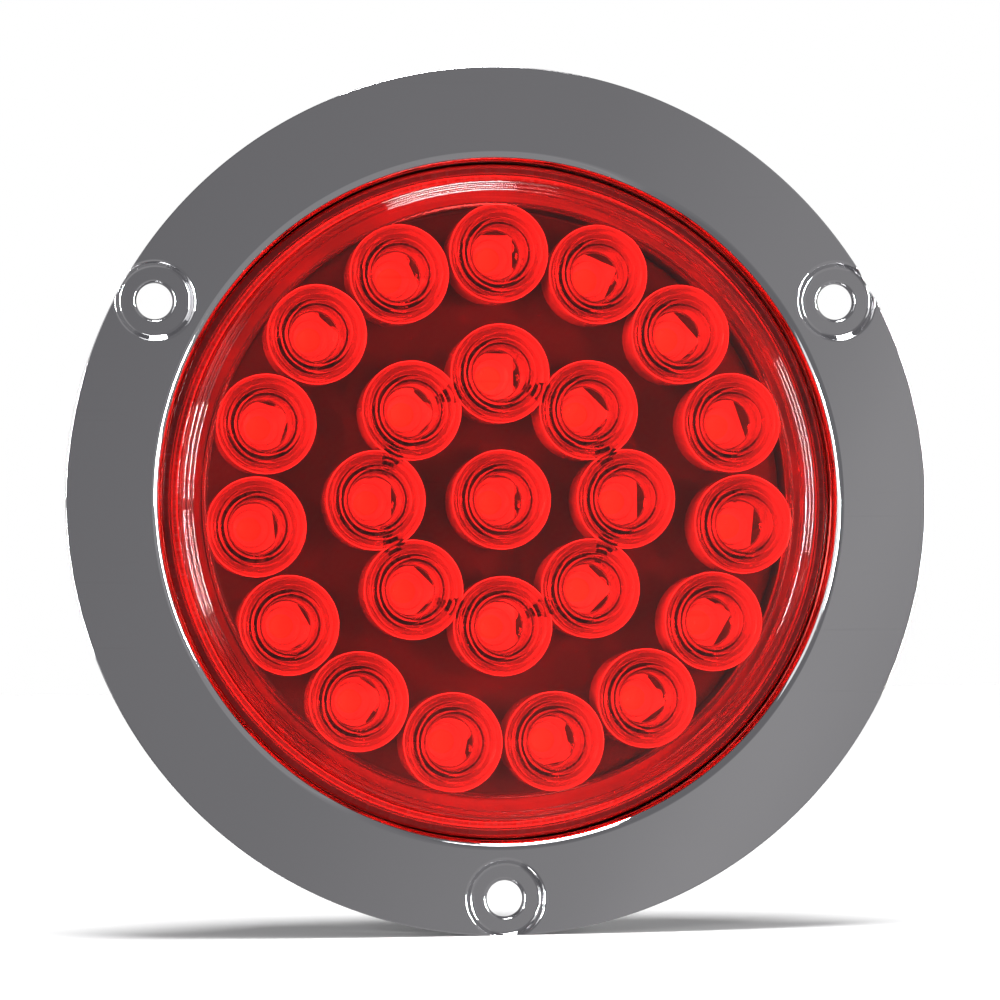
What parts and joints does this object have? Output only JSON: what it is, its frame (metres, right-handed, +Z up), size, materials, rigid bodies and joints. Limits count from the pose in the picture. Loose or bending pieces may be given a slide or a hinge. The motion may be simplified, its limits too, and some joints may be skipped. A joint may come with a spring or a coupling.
{
  "type": "trailer tail light",
  "caption": "Round red LED stop, tail and turn lamp in a flat bright mounting flange with screw holes and a rear plug socket.",
  "frame": {"origin": "on the lamp axis, in the plane where the flange's screw dishes stand on the vehicle panel", "axes": "-Y along the lamp axis out of the lens, +Z up through the top emitter with one screw hole at the bottom, +X to the right seen from the front"},
  "size_m": [0.1396, 0.0352, 0.1396],
  "materials": {
    "chrome_sheet": "polished",
    "foam": "closed-cell foam, matte",
    "red_clear": "clear red plastic, glossy",
    "seal_silicone": "grey silicone, satin",
    "grey_case": "fine grained grey plastic",
    "seal_rubber": "matte",
    "spring_steel": "satin",
    "clear_optic": "clear plastic, glossy",
    "carrier_plastic": "dark grey, satin",
    "led_white": "white, satin",
    "led_clear": "clear, glossy",
    "board_green": "solder-masked board",
    "chip_black": "glazed black",
    "moulded_black": "moulded black",
    "can_aluminium": "satin can",
    "copper_lead": "tinned copper",
    "solder": "bright solder",
    "black_socket": "semi-gloss black",
    "brass_pin": "bright",
    "resin": "poured black resin, glossy",
    "vent_grey": "grey"
  },
  "bodies": {
    "root": {"flange": "chrome_sheet", "mount_gasket": "foam", "lens_cover": "red_clear", "lens_seal": "seal_silicone", "housing": "grey_case", "seat_gasket": "seal_rubber", "retaining_clip": "spring_steel", "optics_outer": "clear_optic", "optics_inner": "clear_optic", "optic_centre": "clear_optic", "optic_carrier": "carrier_plastic", "led_packages": "led_white", "led_domes": "led_clear", "led_board": "board_green", "resistors": "chip_black", "diodes": "moulded_black", "driver_chips": "moulded_black", "capacitors": "can_aluminium", "pin_leads": "copper_lead", "solder_joints": "solder", "socket_shell": "black_socket", "terminal_pins": "brass_pin", "potting": "resin", "vent_plug": "vent_grey"}
  },
  "joints": []
}
